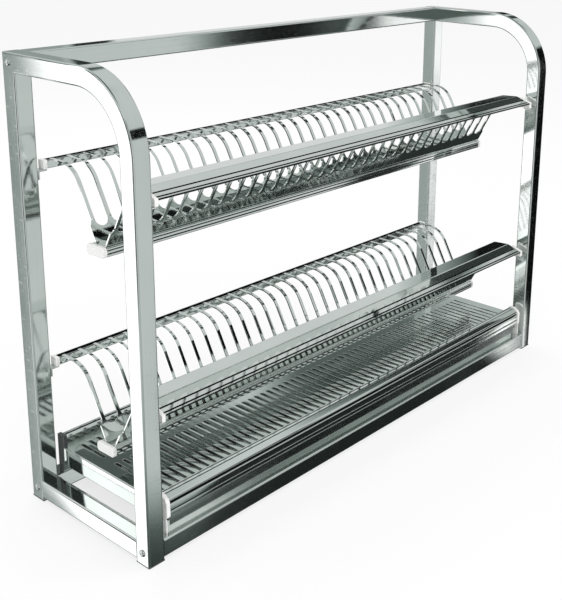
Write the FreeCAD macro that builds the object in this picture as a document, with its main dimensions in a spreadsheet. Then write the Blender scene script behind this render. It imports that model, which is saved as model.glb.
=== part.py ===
import FreeCAD, Part
import os
import re
import Sketcher

# A free-standing dish drying shelf: two side frames of square tube joined by three bars,
# two plate racks on brackets, a glass rack that stands on the bottom bars and a drip tray
# that slides in the glass rack. X runs to the right, Y to the back and Z up. The origin is
# the centre of the footprint, on the floor. Lengths are in millimetres, angles in degrees.

doc = FreeCAD.newDocument("dish_drying_shelf")
sizes = doc.addObject("Spreadsheet::Sheet", "Sizes")

driving_sizes = {
    "overall_width": 900,
    "overall_depth": 249,
    "overall_height": 612,
    "tube": 25,
    "tube_wall": 1.2,
    "bar_lift": 5,
    "arch_radius": 100,
    "foot_flange": 2,
    "foot_stem": 11,
    "screw_size": 6,
    "screw_hole": 6.4,
    "screw_head": 9.5,
    "screw_head_height": 2.4,
    "plug_depth": 15,
    "end_gap": 8,
    "cap_length": 6,
    "lower_rack_height": 97,
    "rack_spacing": 272,
    "tine_pitch": 25.25,
    "tine_width": 5,
    "comb_sheet": 2,
    "comb_slope": 61.4,
    "comb_band": 21.6,
    "comb_bend": 40,
    "comb_top": 104.5,
    "comb_lap": 7,
    "trough_centre": -4,
    "trough_gap": 15.4,
    "bottom_rail_width": 33,
    "bottom_rail_height": 12,
    "bottom_rail_wall": 1.2,
    "back_rail_clearance": 0.5,
    "back_rail_size": 11,
    "back_rail_base": 92,
    "back_rail_wall": 1.3,
    "visor_rear_z": 102.5,
    "visor_crest_z": 104.2,
    "visor_fold_z": 99.6,
    "visor_inset": 7.5,
    "visor_lip_width": 12,
    "visor_fold_width": 14,
    "visor_lip_z": 94.8,
    "visor_lip_depth": 2.5,
    "scallop_end": 100,
    "bracket_thick": 2,
    "bracket_depth": 12,
    "bracket_drop": 12,
    "bracket_gap": 1,
    "front_rest": 86,
    "rest_under_rail": 0.5,
    "glass_floor": 70,
    "glass_sheet": 1.2,
    "glass_front_inset": 23.5,
    "glass_back_overlap": 5.5,
    "glass_slot_pitch": 12.95,
    "glass_slot_width": 5,
    "front_slot_end": 10,
    "rear_slot_start": 33,
    "runner_base": 43,
    "runner_width": 6,
    "glass_front_rail_base": 50,
    "glass_front_rail_top": 82,
    "glass_front_rail_depth": 19,
    "glass_back_rail_base": 46,
    "glass_back_rail_top": 86,
    "glass_back_rail_depth": 13,
    "cap_border": 0.8,
    "glass_rail_wall": 1.4,
    "foot_tab": 2,
    "tray_sheet": 0.8,
    "tray_base": 36.5,
    "tray_front_inset": 10,
    "tray_front_top": 49.4,
    "tray_margin": 9,
    "tray_side_gap": 1.3,
    "tray_rim_gap": 0.1,
}

for row, (alias, value) in enumerate(driving_sizes.items(), start=1):
    sizes.set(f"A{row}", alias.replace("_", " "))
    sizes.set(f"B{row}", str(value))
    sizes.setAlias(f"B{row}", alias)
doc.recompute()

# Places and counts that follow from the driving sizes, so that a change of one keeps the pieces together.

derived_sizes = {
    "tine_count": "floor((overall_width - 2 * tube - 2 * end_gap) / tine_pitch)",
    "glass_slot_count": "floor((overall_width - 2 * tube - 2 * end_gap - 30) / glass_slot_pitch)",
    "back_rail_front": "overall_depth / 2 - tube + back_rail_clearance",
    "visor_lip_y": "visor_inset - overall_depth / 2",
    "visor_fold_y": "visor_lip_y + visor_lip_width",
    "visor_crest_y": "visor_fold_y + visor_fold_width",
    "glass_front": "glass_front_inset - overall_depth / 2",
    "glass_back": "overall_depth / 2 - tube - glass_back_overlap",
    "front_slot_start": "glass_front + 7",
    "rear_slot_end": "glass_back - 9",
    "tray_front": "tray_front_inset - overall_depth / 2",
    "tray_back": "glass_back - 2",
    "tray_half_width": "overall_width / 2 - tube - end_gap - tray_margin",
}

inner_side = "(overall_width / 2 - tube)"
post_inner = "(overall_depth / 2 - tube)"
post_outer = "(overall_depth / 2)"
bar_centre = "(overall_depth / 2 - tube / 2)"
low_bar_centre = "(bar_lift + tube / 2)"
top_bar_centre = "(overall_height - tube / 2)"
rack_end = "(overall_width / 2 - tube - end_gap)"
rail_end = "(overall_width / 2 - tube - end_gap - cap_length)"
slot_width = "(tine_pitch - tine_width)"
trough_half = "(trough_gap / 2)"
sheet_across = "(comb_sheet / sin(comb_slope))"


def cells(formula):
    """Points a formula's words at the cells of the sheet."""
    def point(match):
        word = match.group(0)
        if word in derived_sizes:
            return f"({cells(derived_sizes[word])})"
        return f"Sizes.{word}" if word in driving_sizes else word
    return re.sub(r"[a-z_][a-z_0-9]*", point, str(formula))


def number(formula):
    """Works a formula out."""
    return float(sizes.evalExpression(cells(formula)))


def bind(thing, path, formula):
    """Ties one property of an object to the sheet."""
    thing.setExpression(path, cells(formula))


def origin_plane(body, role):
    """The body's own plane with this role."""
    return next(item for item in body.Origin.OriginFeatures if item.Role == role)


def attach(sketch, body, role, shift="0", along="0", up="0", turn=None):
    """Lays a sketch on a plane of its own body, shifted along the plane's axes and turned about X."""
    sketch.AttachmentSupport = [(origin_plane(body, role), "")]
    sketch.MapMode = "FlatFace"
    if turn is not None:
        sketch.AttachmentOffset = FreeCAD.Placement(
            FreeCAD.Vector(0, 0, 0), FreeCAD.Rotation(FreeCAD.Vector(1, 0, 0), number(turn))
        )
        bind(sketch, "AttachmentOffset.Rotation.Angle", turn)
    bind(sketch, "AttachmentOffset.Base.x", along)
    bind(sketch, "AttachmentOffset.Base.y", up)
    bind(sketch, "AttachmentOffset.Base.z", shift)


def place_point(sketch, edge, end, horizontal, vertical):
    """Drives the place of an edge's end from the sheet."""
    for kind, formula in (("DistanceX", horizontal), ("DistanceY", vertical)):
        if formula is None:
            continue
        rule = Sketcher.Constraint(kind, -1, 1, edge, end, number(formula))
        index = sketch.addConstraint(rule)
        bind(sketch, f"Constraints[{index}]", formula)


def arc_between(start, end, centre, turns_left):
    """An arc of a circle from one point to another about a centre."""
    middle_of_chord = (start + end) * 0.5
    radius = (start - centre).Length
    outward = middle_of_chord - centre
    if outward.Length < 1e-6:
        chord = end - start
        outward = FreeCAD.Vector(chord.y, -chord.x, 0)
        if not turns_left:
            outward = outward * -1
    outward.normalize()
    return Part.Arc(start, centre + outward * radius, end)


def outline(sketch, corners):
    """Draws a closed outline. A corner is two formulas, and an arc to it adds its centre and its sense."""
    places = [FreeCAD.Vector(number(corner[0]), number(corner[1]), 0) for corner in corners]
    first = sketch.GeometryCount
    total = len(corners)
    ends = []
    for step in range(total):
        start = places[step]
        finish = places[(step + 1) % total]
        target = corners[(step + 1) % total]
        if len(target) == 2:
            sketch.addGeometry(Part.LineSegment(start, finish), False)
            ends.append((1, 2))
            continue
        centre = FreeCAD.Vector(number(target[2]), number(target[3]), 0)
        sketch.addGeometry(arc_between(start, finish, centre, target[4] == "left"), False)
        # An arc is stored counterclockwise, so its start is the end that is reached last on a right turn.
        ends.append((1, 2) if target[4] == "left" else (2, 1))
    for step in range(total):
        following = (step + 1) % total
        joint = Sketcher.Constraint(
            "Coincident", first + step, ends[step][1], first + following, ends[following][0]
        )
        sketch.addConstraint(joint)
    for step in range(total):
        corner = corners[step]
        edge = first + step
        if len(corner) == 2:
            place_point(sketch, edge, ends[step][0], corner[0], corner[1])
            continue
        arc = first + (step - 1) % total
        place_point(sketch, arc, 3, corner[2], corner[3])
        across = abs(places[step].x - number(corner[2]))
        upright = abs(places[step].y - number(corner[3]))
        if across < upright:
            place_point(sketch, edge, ends[step][0], corner[0], None)
        else:
            place_point(sketch, edge, ends[step][0], None, corner[1])


def new_body(label):
    """An empty body with the name of its piece."""
    body = doc.addObject("PartDesign::Body", label)
    body.Label = label
    return body


def new_sketch(body, name, role, loops, **where):
    """A sketch of one or more closed outlines on a plane of the body."""
    sketch = body.newObject("Sketcher::SketchObject", f"{body.Label}_{name}")
    attach(sketch, body, role, **where)
    for loop in loops:
        outline(sketch, loop)
    return sketch


def pad(body, name, sketch, length, both_ways=False):
    """Raises a sketch into a solid."""
    raised = body.newObject("PartDesign::Pad", f"{body.Label}_{name}")
    raised.Profile = sketch
    raised.SideType = "Symmetric" if both_ways else "One side"
    bind(raised, "Length", length)
    doc.recompute()
    return raised


def pocket(body, name, sketch, length=None):
    """Cuts a sketch out of the solid, to both sides of its plane, and checks that it cut."""
    before = body.Shape.Volume
    cut = body.newObject("PartDesign::Pocket", f"{body.Label}_{name}")
    cut.Profile = sketch
    cut.SideType = "Symmetric"
    if length is None:
        cut.Type = "ThroughAll"
    else:
        bind(cut, "Length", length)
    doc.recompute()
    if body.Shape.Volume >= before:
        raise RuntimeError(f"{cut.Name} cuts nothing")
    return cut


def repeat_along_x(body, name, feature, count, pitch):
    """Repeats a feature along the X axis."""
    before = body.Shape.Volume
    pattern = body.newObject("PartDesign::LinearPattern", f"{body.Label}_{name}")
    pattern.Originals = [feature]
    pattern.Direction = (origin_plane(body, "X_Axis"), [""])
    pattern.Mode = "Spacing"
    bind(pattern, "Offset", pitch)
    bind(pattern, "Occurrences", count)
    body.Tip = pattern
    doc.recompute()
    if abs(body.Shape.Volume - before) < 1:
        raise RuntimeError(f"{pattern.Name} changes nothing")
    return pattern


def rectangle(left, bottom, right, top):
    """The corners of a rectangle."""
    return [(left, bottom), (right, bottom), (right, top), (left, top)]


def set_place(thing, x="0", y="0", z="0"):
    """Ties an object's place to the sheet."""
    bind(thing, "Placement.Base.x", x)
    bind(thing, "Placement.Base.y", y)
    bind(thing, "Placement.Base.z", z)


def block(name, x, y, z, length, width, height):
    """A box from its lowest corner and its three sizes."""
    box = doc.addObject("Part::Box", name)
    bind(box, "Length", length)
    bind(box, "Width", width)
    bind(box, "Height", height)
    set_place(box, x, y, z)
    return box


def rod(name, x, y, z, radius, length, sides=8):
    """A many-sided rod along X from the centre of its left end."""
    prism = doc.addObject("Part::Prism", name)
    prism.Placement.Rotation = FreeCAD.Rotation(FreeCAD.Vector(0, 1, 0), 90)
    prism.Polygon = sides
    bind(prism, "Circumradius", radius)
    bind(prism, "Height", length)
    set_place(prism, x, y, z)
    return prism


def join(label, pieces):
    """One solid of pieces that meet."""
    joined = doc.addObject("Part::MultiFuse", label)
    joined.Label = label
    joined.Shapes = pieces
    joined.Refine = True
    return joined


def gather(label, pieces):
    """Separate solids that share one node."""
    group = doc.addObject("Part::Compound", label)
    group.Label = label
    group.Links = pieces
    return group


nodes = []


def octagon(y, z, radius):
    """An eight-sided outline about a centre."""
    slant = f"({radius} * sin(45))"
    steps = (
        (f"+ {radius}", ""), (f"+ {slant}", f"+ {slant}"), ("", f"+ {radius}"), (f"- {slant}", f"+ {slant}"),
        (f"- {radius}", ""), (f"- {slant}", f"- {slant}"), ("", f"- {radius}"), (f"+ {slant}", f"- {slant}"),
    )
    return [(f"{y} {across}", f"{z} {upright}") for across, upright in steps]


def side_frame(label, left_face):
    """A side frame of square tube: two posts, a top bar with a round front corner and a bottom bar."""
    body = new_body(label)
    nodes.append(body)
    front = f"(-{post_outer})"
    front_inner = f"(-{post_inner})"
    arch_y = f"({front} + arch_radius)"
    arch_z = "(overall_height - arch_radius)"
    outer = [
        (front, "foot_flange"),
        (front_inner, "foot_flange"),
        (front_inner, "bar_lift"),
        (post_inner, "bar_lift"),
        (post_inner, "foot_flange"),
        (post_outer, "foot_flange"),
        (post_outer, "overall_height"),
        (arch_y, "overall_height"),
        (front, arch_z, arch_y, arch_z, "left"),
    ]
    window = [
        (front_inner, "bar_lift + tube"),
        (post_inner, "bar_lift + tube"),
        (post_inner, "overall_height - tube"),
        (arch_y, "overall_height - tube"),
        (front_inner, arch_z, arch_y, arch_z, "left"),
    ]
    shell = new_sketch(body, "outline", "YZ_Plane", [outer, window], shift=left_face)
    pad(body, "tube", shell, "tube")

    bore_outer = [
        (f"{front} + tube_wall", "foot_flange"),
        (f"{front_inner} - tube_wall", "foot_flange"),
        (f"{front_inner} - tube_wall", "bar_lift + tube_wall"),
        (f"{post_inner} + tube_wall", "bar_lift + tube_wall"),
        (f"{post_inner} + tube_wall", "foot_flange"),
        (f"{post_outer} - tube_wall", "foot_flange"),
        (f"{post_outer} - tube_wall", "overall_height - tube_wall"),
        (arch_y, "overall_height - tube_wall"),
        (f"{front} + tube_wall", arch_z, arch_y, arch_z, "left"),
    ]
    bore_window = [
        (f"{front_inner} - tube_wall", "bar_lift + tube - tube_wall"),
        (f"{post_inner} + tube_wall", "bar_lift + tube - tube_wall"),
        (f"{post_inner} + tube_wall", "overall_height - tube + tube_wall"),
        (arch_y, "overall_height - tube + tube_wall"),
        (f"{front_inner} - tube_wall", arch_z, arch_y, arch_z, "left"),
    ]
    middle = f"{left_face} + tube / 2"
    hollow = new_sketch(body, "bore_outline", "YZ_Plane", [bore_outer, bore_window], shift=middle)
    pocket(body, "bore", hollow, "tube - 2 * tube_wall")

    circles = [octagon(y, z, "(screw_hole / 2)") for y, z in screw_places]
    holes = new_sketch(body, "screw_hole_outlines", "YZ_Plane", circles, shift=middle)
    pocket(body, "screw_holes", holes)


def cross_bar(label, y_low, z_low):
    """A bar of square tube between the side frames."""
    body = new_body(label)
    nodes.append(body)
    wall = "tube_wall"
    skin = rectangle(y_low, z_low, f"{y_low} + tube", f"{z_low} + tube")
    bore = rectangle(
        f"{y_low} + {wall}", f"{z_low} + {wall}", f"{y_low} + tube - {wall}", f"{z_low} + tube - {wall}"
    )
    section = new_sketch(body, "section", "YZ_Plane", [skin, bore])
    pad(body, "length", section, f"2 * {inner_side}", both_ways=True)


# Frame

screw_places = [
    (f"(-{bar_centre})", low_bar_centre),
    (bar_centre, low_bar_centre),
    (bar_centre, top_bar_centre),
]

side_frame("left_side_frame", "(-overall_width / 2)")
side_frame("right_side_frame", inner_side)
cross_bar("back_top_bar", post_inner, "(overall_height - tube)")
cross_bar("back_bottom_bar", post_inner, "bar_lift")
cross_bar("front_bottom_bar", f"(-{post_outer})", "bar_lift")


def bar_end_plugs():
    """The tapped blocks that close the bars' ends and take the screws."""
    plug_side = "(tube - 2 * tube_wall)"
    plugs = []
    for index, (y, z) in enumerate(screw_places):
        for side, x in (("left", f"(-{inner_side})"), ("right", f"({inner_side} - plug_depth)")):
            name = f"bar_plug_{side}_{index}"
            body = block(
                f"{name}_block", x, f"{y} - {plug_side} / 2", f"{z} - {plug_side} / 2",
                "plug_depth", plug_side, plug_side,
            )
            hole = rod(f"{name}_hole", x, y, z, "screw_size / 2", "plug_depth")
            plug = doc.addObject("Part::Cut", name)
            plug.Base = body
            plug.Tool = hole
            plugs.append(plug)
    nodes.append(gather("bar_end_plugs", plugs))


def frame_screws():
    """The screws through the side frames into the bars' ends, with low twelve-sided heads."""
    screws = []
    reach = "(tube + plug_depth - 2)"
    for index, (y, z) in enumerate(screw_places):
        for side in (-1, 1):
            name = f"screw_{'left' if side < 0 else 'right'}_{index}"
            shank_start = "(-overall_width / 2)" if side < 0 else f"(overall_width / 2 - {reach})"
            shank = rod(f"{name}_shank", shank_start, y, z, "screw_size / 2", reach)
            head_start = "(-overall_width / 2 - screw_head_height)" if side < 0 else "(overall_width / 2)"
            head = rod(f"{name}_head", head_start, y, z, "screw_head / 2", "screw_head_height", sides=12)
            screws.append(join(name, [shank, head]))
    nodes.append(gather("frame_screws", screws))


def foot(label, side, depth):
    """A plastic foot pushed into the open end of a post."""
    x = inner_side if side > 0 else "(-overall_width / 2)"
    y = post_inner if depth > 0 else f"(-{post_outer})"
    flange = block(f"{label}_flange", x, y, "0", "tube", "tube", "foot_flange")
    stem_side = "tube - 2 * tube_wall"
    stem = block(
        f"{label}_stem", f"{x} + tube_wall", f"{y} + tube_wall", "foot_flange",
        stem_side, stem_side, "foot_stem",
    )
    nodes.append(join(label, [flange, stem]))


bar_end_plugs()
frame_screws()
foot("front_left_foot", -1, -1)
foot("front_right_foot", 1, -1)
foot("back_left_foot", -1, 1)
foot("back_right_foot", 1, 1)


def rack_brackets(label, base):
    """The four small angle brackets on the posts that a plate rack rests on."""
    reach = "(end_gap + cap_length - bracket_gap)"
    brackets = []
    rests = (
        ("front", "visor_lip_y", f"({base} + front_rest)"),
        ("back", "back_rail_front", f"({base} + back_rail_base - rest_under_rail)"),
    )
    for end, y, top in rests:
        for side in ("left", "right"):
            name = f"{label}_{end}_{side}"
            inner_x = f"({inner_side} - {reach})"
            shelf_x = inner_x if side == "right" else f"(-{inner_side})"
            leaf_x = f"({inner_side} - bracket_thick)" if side == "right" else f"(-{inner_side})"
            shelf = block(
                f"{name}_shelf", shelf_x, y, f"{top} - bracket_thick", reach, "bracket_depth", "bracket_thick"
            )
            leaf = block(
                f"{name}_leaf", leaf_x, y, f"{top} - bracket_drop", "bracket_thick", "bracket_depth", "bracket_drop"
            )
            brackets.append(join(name, [shelf, leaf]))
    nodes.append(gather(label, brackets))


# Plate racks

def comb_slots(body, name, base, foot_y, turn, top_corners):
    """Cuts the slots between the tines, each with the corners of its root cut off."""
    first = "(-tine_count * tine_pitch / 2)"
    half = f"({slot_width} / 2)"
    bevel = f"({half} * 0.6)"
    loop = [
        (f"{first} - {half}", f"comb_band + {bevel}"),
        (f"{first} - {half} + {bevel}", "comb_band"),
        (f"{first} + {half} - {bevel}", "comb_band"),
        (f"{first} + {half}", f"comb_band + {bevel}"),
    ] + top_corners(first, half)
    sketch = new_sketch(
        body, f"{name}_outline", "XY_Plane", [loop],
        shift="0", turn=turn, along="0", up="0",
    )
    bind(sketch, "AttachmentOffset.Base.y", foot_y)
    bind(sketch, "AttachmentOffset.Base.z", f"{base} + bottom_rail_height")
    cut = pocket(body, name, sketch)
    repeat_along_x(body, f"{name}_row", cut, "tine_count + 1", "tine_pitch")


def rear_comb(label, base):
    """The rear comb: slotted sheet that rises from the bottom rail, bends back and laps the back rail."""
    body = new_body(label)
    nodes.append(body)
    foot_y = f"(trough_centre + {trough_half})"
    foot_z = f"({base} + bottom_rail_height)"
    top = f"({base} + comb_top)"
    under = f"({top} - comb_sheet)"
    setback = "(comb_bend * tan(comb_slope / 2))"
    inner_setback = "((comb_bend - comb_sheet) * tan(comb_slope / 2))"
    bend_y = f"({foot_y} + ({top} - {foot_z}) / tan(comb_slope))"
    under_bend_y = f"({foot_y} + {sheet_across} + ({under} - {foot_z}) / tan(comb_slope))"
    bend_centre_y = f"({bend_y} + {setback})"
    bend_centre_z = f"({top} - comb_bend)"
    section = [
        (foot_y, foot_z),
        (f"{foot_y} + {sheet_across}", foot_z),
        (
            f"{under_bend_y} - {inner_setback} * cos(comb_slope)",
            f"{under} - {inner_setback} * sin(comb_slope)",
        ),
        (bend_centre_y, under, bend_centre_y, bend_centre_z, "right"),
        ("back_rail_front - comb_sheet", under),
        ("back_rail_front - comb_sheet", f"{top} - comb_lap"),
        ("back_rail_front", f"{top} - comb_lap"),
        ("back_rail_front", top),
        (bend_centre_y, top),
        (
            f"{bend_y} - {setback} * cos(comb_slope)",
            f"{top} - {setback} * sin(comb_slope)",
            bend_centre_y, bend_centre_z, "left",
        ),
    ]
    sheet = new_sketch(body, "section", "YZ_Plane", [section])
    pad(body, "sheet", sheet, f"2 * {rail_end}", both_ways=True)

    def open_top(first, half):
        reach = "(2 * back_rail_front)"
        return [(f"{first} + {half}", reach), (f"{first} - {half}", reach)]

    comb_slots(body, "slots", base, foot_y, "comb_slope", open_top)


def front_comb(label, base):
    """The front comb: slotted sheet that rises towards the front and folds over into the visor."""
    body = new_body(label)
    nodes.append(body)
    foot_y = f"(trough_centre - {trough_half})"
    foot_z = f"({base} + bottom_rail_height)"
    rear_z = f"({base} + visor_rear_z)"
    crest_z = f"({base} + visor_crest_z)"
    fold_z = f"({base} + visor_fold_z)"
    lip_z = f"({base} + visor_lip_z)"
    thick = "comb_sheet"
    section = [
        (foot_y, foot_z),
        (f"{foot_y} - ({rear_z} - {foot_z}) / tan(comb_slope)", rear_z),
        ("visor_crest_y", crest_z),
        ("visor_fold_y", fold_z),
        ("visor_lip_y", lip_z),
        ("visor_lip_y - 1", f"{lip_z} - visor_lip_depth"),
        (f"visor_lip_y - 1 + {thick}", f"{lip_z} - visor_lip_depth"),
        (f"visor_lip_y + {thick}", f"{lip_z} - {thick} * 0.8"),
        (f"visor_fold_y + {thick} * 0.3", f"{fold_z} - {thick}"),
        ("visor_crest_y", f"{crest_z} - {thick}"),
        (
            f"{foot_y} - {sheet_across} - ({rear_z} - {thick} - {foot_z}) / tan(comb_slope)",
            f"{rear_z} - {thick}",
        ),
        (f"{foot_y} - {sheet_across}", foot_z),
    ]
    sheet = new_sketch(body, "section", "YZ_Plane", [section])
    pad(body, "sheet", sheet, f"2 * {rail_end}", both_ways=True)

    def cut_corners(first, half):
        bevel = f"({half} * 0.55)"
        return [
            (f"{first} + {half}", f"scallop_end - {bevel}"),
            (f"{first} + {half} - {bevel}", "scallop_end"),
            (f"{first} - {half} + {bevel}", "scallop_end"),
            (f"{first} - {half}", f"scallop_end - {bevel}"),
        ]

    comb_slots(body, "slots", base, foot_y, "180 - comb_slope", cut_corners)


def bottom_rail(label, base):
    """The hollow rail under the trough that carries both combs and the plates."""
    body = new_body(label)
    nodes.append(body)
    half = "(bottom_rail_width / 2)"
    wall = "bottom_rail_wall"
    skin = rectangle(f"-{half}", base, half, f"{base} + bottom_rail_height")
    bore = rectangle(
        f"-{half} + {wall}", f"{base} + {wall}",
        f"{half} - {wall}", f"{base} + bottom_rail_height - {wall}",
    )
    section = new_sketch(body, "section", "YZ_Plane", [skin, bore])
    pad(body, "length", section, f"2 * {rail_end}", both_ways=True)


def back_rail(label, base):
    """The two-chambered rail along the back of a plate rack."""
    body = new_body(label)
    nodes.append(body)
    wall = "back_rail_wall"
    near = "back_rail_front"
    far = "back_rail_front + back_rail_size"
    low = f"({base} + back_rail_base)"
    high = f"({low} + back_rail_size)"
    web = f"({low} + back_rail_size / 2)"
    skin = rectangle(near, low, far, high)
    lower = rectangle(f"{near} + {wall}", f"{low} + {wall}", f"{far} - {wall}", f"{web} - {wall} / 2")
    upper = rectangle(f"{near} + {wall}", f"{web} + {wall} / 2", f"{far} - {wall}", f"{high} - {wall}")
    section = new_sketch(body, "section", "YZ_Plane", [skin, lower, upper])
    pad(body, "length", section, f"2 * {rail_end}", both_ways=True)


def end_caps(label, corners):
    """A pair of plastic caps, one on each end of a rail."""
    for side, start in (("left", f"(-{rack_end})"), ("right", rail_end)):
        body = new_body(f"{label}_{side}")
        nodes.append(body)
        face = new_sketch(body, "outline", "YZ_Plane", [corners], shift=start)
        pad(body, "cap", face, "cap_length")


def cut_cornered(left, bottom, right, top, cut):
    """A rectangle with its corners cut off."""
    return [
        (f"{left} + {cut}", bottom), (f"{right} - {cut}", bottom),
        (right, f"{bottom} + {cut}"), (right, f"{top} - {cut}"),
        (f"{right} - {cut}", top), (f"{left} + {cut}", top),
        (left, f"{top} - {cut}"), (left, f"{bottom} + {cut}"),
    ]


def plate_rack(name, base):
    """One plate rack: two combs on a bottom rail, a back rail and the white caps on every rail's end."""
    rear_comb(f"{name}_rear_comb", base)
    front_comb(f"{name}_front_comb", base)
    bottom_rail(f"{name}_bottom_rail", base)
    back_rail(f"{name}_back_rail", base)
    border = "cap_border"
    half = "(bottom_rail_width / 2)"
    end_caps(f"{name}_bottom_cap", cut_cornered(
        f"(-{half} - {border})", f"({base} - {border})",
        f"({half} + {border})", f"({base} + bottom_rail_height + {border})", "(cap_border + 2)",
    ))
    end_caps(f"{name}_back_cap", rectangle(
        "(back_rail_front - 0.5)", f"({base} + back_rail_base - rest_under_rail)",
        f"(back_rail_front + back_rail_size + {border})",
        f"({base} + back_rail_base + back_rail_size + {border})",
    ))
    end_caps(f"{name}_front_cap", [
        ("visor_lip_y - 1", f"{base} + front_rest"),
        ("visor_fold_y + 7", f"{base} + front_rest"),
        ("visor_fold_y + 7", f"{base} + visor_crest_z - 1"),
        ("visor_fold_y", f"{base} + visor_fold_z + {border}"),
        ("visor_lip_y - 1", f"{base} + visor_lip_z + {border}"),
    ])


racks = (("lower", "lower_rack_height"), ("upper", "(lower_rack_height + rack_spacing)"))
for rack_name, rack_base in racks:
    rack_brackets(f"{rack_name}_rack_brackets", rack_base)
    plate_rack(rack_name, rack_base)


# Glass rack

def glass_rack_floor():
    """The slotted floor, folded down at both sides and in again as runners for the drip tray."""
    body = new_body("glass_rack_floor")
    nodes.append(body)
    sheet = "glass_sheet"
    inner = f"({rack_end} - {sheet})"
    section = [
        (f"-{rack_end}", "runner_base"),
        (f"-{rack_end} + runner_width", "runner_base"),
        (f"-{rack_end} + runner_width", f"runner_base + {sheet}"),
        (f"-{inner}", f"runner_base + {sheet}"),
        (f"-{inner}", f"glass_floor - {sheet}"),
        (inner, f"glass_floor - {sheet}"),
        (inner, f"runner_base + {sheet}"),
        (f"{rack_end} - runner_width", f"runner_base + {sheet}"),
        (f"{rack_end} - runner_width", "runner_base"),
        (rack_end, "runner_base"),
        (rack_end, "glass_floor"),
        (f"-{rack_end}", "glass_floor"),
    ]
    profile = new_sketch(body, "section", "XZ_Plane", [section], shift="-glass_back")
    pad(body, "sheet", profile, "glass_back - glass_front")

    left = "(-(glass_slot_count - 1) * glass_slot_pitch / 2 - glass_slot_width / 2)"
    right = f"({left} + glass_slot_width)"
    slots = [
        rectangle(left, "front_slot_start", right, "front_slot_end"),
        rectangle(left, "rear_slot_start", right, "rear_slot_end"),
    ]
    drawn = new_sketch(body, "slot_outline", "XY_Plane", slots, shift="glass_floor")
    cut = pocket(body, "slot", drawn, "4 * glass_sheet")
    repeat_along_x(body, "slots", cut, "glass_slot_count", "glass_slot_pitch")


def glass_front_rail():
    """The stepped hollow rail along the front of the glass rack."""
    body = new_body("glass_rack_front_rail")
    nodes.append(body)
    rear = "glass_front"
    base = "glass_front_rail_base"
    top = "glass_front_rail_top"
    face = "(glass_front - glass_front_rail_depth)"
    section = [
        (rear, base),
        (rear, f"{top} - 1.5"),
        (f"{rear} - 2", top),
        (f"{rear} - 10", f"{top} - 1.5"),
        (f"{face} + 3", f"{top} - 5"),
        (f"{face} + 0.8", f"{top} - 8"),
        (f"{face} + 3.5", f"{top} - 9"),
        (f"{face} + 3.5", f"{top} - 11"),
        (face, f"{top} - 12"),
        (face, f"{top} - 20"),
        (f"{face} + 1.5", f"{top} - 20.5"),
        (f"{face} + 1.5", f"{top} - 21.5"),
        (face, f"{top} - 22"),
        (face, f"{base} + 5"),
        (f"{face} + 4", base),
    ]
    wall = "glass_rail_wall"
    bore = rectangle(f"{face} + 3.6 + {wall}", f"{base} + {wall}", f"{rear} - {wall}", f"{top} - 5.6 - {wall}")
    sketch = new_sketch(body, "section", "YZ_Plane", [section, bore])
    pad(body, "length", sketch, f"2 * {rail_end}", both_ways=True)


def glass_back_rail():
    """The tall hollow rail along the back of the glass rack, with a web across its middle."""
    body = new_body("glass_rack_back_rail")
    nodes.append(body)
    near = "glass_back"
    far = "(glass_back + glass_back_rail_depth)"
    base = "glass_back_rail_base"
    top = "glass_back_rail_top"
    section = [
        (near, base),
        (far, base),
        (far, f"{top} - 2"),
        (f"{far} - 2", top),
        (f"{near} + 8", top),
        (f"{near} + 7", f"{top} - 1.5"),
        (f"{near} + 5", f"{top} - 1.5"),
        (f"{near} + 4", f"{top} - 0.5"),
        (f"{near} + 1.5", f"{top} - 1"),
        (near, f"{top} - 3"),
    ]
    wall = "glass_rail_wall"
    web = f"(({base} + {top}) / 2)"
    lower = rectangle(f"{near} + {wall}", f"{base} + {wall}", f"{far} - {wall}", f"{web} - {wall} / 2")
    upper = rectangle(f"{near} + {wall}", f"{web} + {wall} / 2", f"{far} - {wall}", f"{top} - 3 - {wall}")
    sketch = new_sketch(body, "section", "YZ_Plane", [section, lower, upper])
    pad(body, "length", sketch, f"2 * {rail_end}", both_ways=True)


def glass_rack_caps():
    """The caps on the glass rack's rails, with tabs that stand on the bottom bars."""
    bar_top = "(bar_lift + tube)"
    face = "(glass_front - glass_front_rail_depth)"
    far = "(glass_back + glass_back_rail_depth)"
    front_outline = [
        ("glass_front", "glass_front_rail_base"),
        ("glass_front", "glass_front_rail_top + cap_border"),
        ("glass_front - 9", "glass_front_rail_top + cap_border"),
        (f"{face} + 2", "glass_front_rail_top - 4"),
        (f"{face} - cap_border", "glass_front_rail_top - 9"),
        (f"{face} - cap_border", "glass_front_rail_base + 4"),
        (f"{face} + 3", "glass_front_rail_base"),
    ]
    front_tab = rectangle(f"{face} + 1", bar_top, f"{face} + 14", "glass_front_rail_base")
    back_outline = rectangle("glass_back", "glass_back_rail_base", f"{far} + cap_border", "glass_back_rail_top + cap_border")
    back_tab = rectangle(f"({post_inner} + 0.5)", bar_top, f"{far} + cap_border", "glass_back_rail_base")
    ends = (("front", front_outline, front_tab), ("back", back_outline, back_tab))
    for end, corners, tab in ends:
        for side, start, tab_start in (
            ("left", f"(-{rack_end})", f"(-{rack_end})"),
            ("right", rail_end, f"({rack_end} - foot_tab)"),
        ):
            body = new_body(f"glass_rack_{end}_cap_{side}")
            nodes.append(body)
            face_sketch = new_sketch(body, "outline", "YZ_Plane", [corners], shift=start)
            pad(body, "cap", face_sketch, "cap_length")
            tab_sketch = new_sketch(body, "tab_outline", "YZ_Plane", [tab], shift=tab_start)
            pad(body, "tab", tab_sketch, "foot_tab")


glass_rack_floor()
glass_front_rail()
glass_back_rail()
glass_rack_caps()


# Drip tray

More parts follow.
